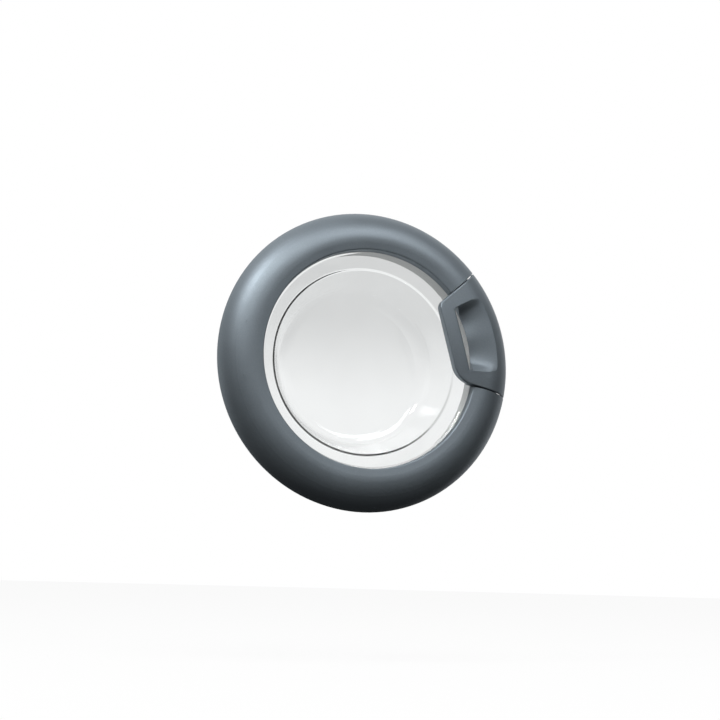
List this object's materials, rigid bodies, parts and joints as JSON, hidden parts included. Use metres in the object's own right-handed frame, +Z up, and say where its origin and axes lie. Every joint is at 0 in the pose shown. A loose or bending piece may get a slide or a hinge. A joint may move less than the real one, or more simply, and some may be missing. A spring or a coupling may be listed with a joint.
{
  "type": "washing machine door",
  "caption": "Round porthole door of a front-loading washing machine: grey ring with a scooped pull handle, clear glass bowl, sprung latch hook and goose-neck hinge.",
  "frame": {"origin": "on the door's axis in its closing plane, the rear face of the rear ring", "axes": "+X towards the handle's side seen from the front, +Y into the machine along the door's axis, +Z up"},
  "size_m": [0.475, 0.1217, 0.475],
  "materials": {
    "ring_paint": "satin metallic paint",
    "rear_plastic": "fine grain",
    "dark_plastic": "fine grain",
    "clear_glass": "polished",
    "screw_steel": "zinc plated",
    "pin_steel": "ground",
    "spring_steel": "drawn wire",
    "cast_metal": "die cast",
    "bush_plastic": "smooth"
  },
  "bodies": {
    "hinge_fixed": {"hinge_bracket": "cast_metal", "upper_hinge_bush": "bush_plastic", "lower_hinge_bush": "bush_plastic"},
    "door_leaf": {"front_frame": "ring_paint", "rear_frame": "rear_plastic", "door_glass": "clear_glass", "frame_screws": "screw_steel", "hinge_carrier": "cast_metal", "hinge_carrier_screws": "screw_steel", "hinge_pin": "pin_steel", "hinge_pin_clip": "pin_steel", "latch_housing": "dark_plastic", "latch_housing_screws": "screw_steel", "handle_pin": "pin_steel", "handle_pin_clips": "pin_steel", "handle_spring": "spring_steel", "hook_spring": "spring_steel"},
    "handle_lever": {"handle": "ring_paint", "grip_cover": "dark_plastic", "grip_cover_screws": "screw_steel"},
    "hook_lever": {"latch_hook": "cast_metal"}
  },
  "joints": [
    {"name": "door_swing", "type": "hinge", "parent": "hinge_fixed", "child": "door_leaf", "pos_m": [-0.217, -0.017, 0], "axis": [0, 0, -1], "range_deg": [0, 130]},
    {"name": "handle_pull", "type": "hinge", "parent": "door_leaf", "child": "handle_lever", "pos_m": [0.20641, -0.016, 0.05647], "axis": [-0.2639, 0, 0.9646], "range_deg": [0, 10], "stiffness_Nm_per_rad": 3, "springref_deg": -5.73, "deforming": ["handle_spring"]},
    {"name": "hook_turn", "type": "hinge", "parent": "door_leaf", "child": "hook_lever", "pos_m": [0.20641, -0.016, 0.05647], "axis": [-0.2639, 0, 0.9646], "range_deg": [0, 10], "deforming": ["hook_spring"]}
  ],
  "couplings": [
    {"joint": "hook_turn", "follows": "handle_pull", "ratio": 1}
  ]
}
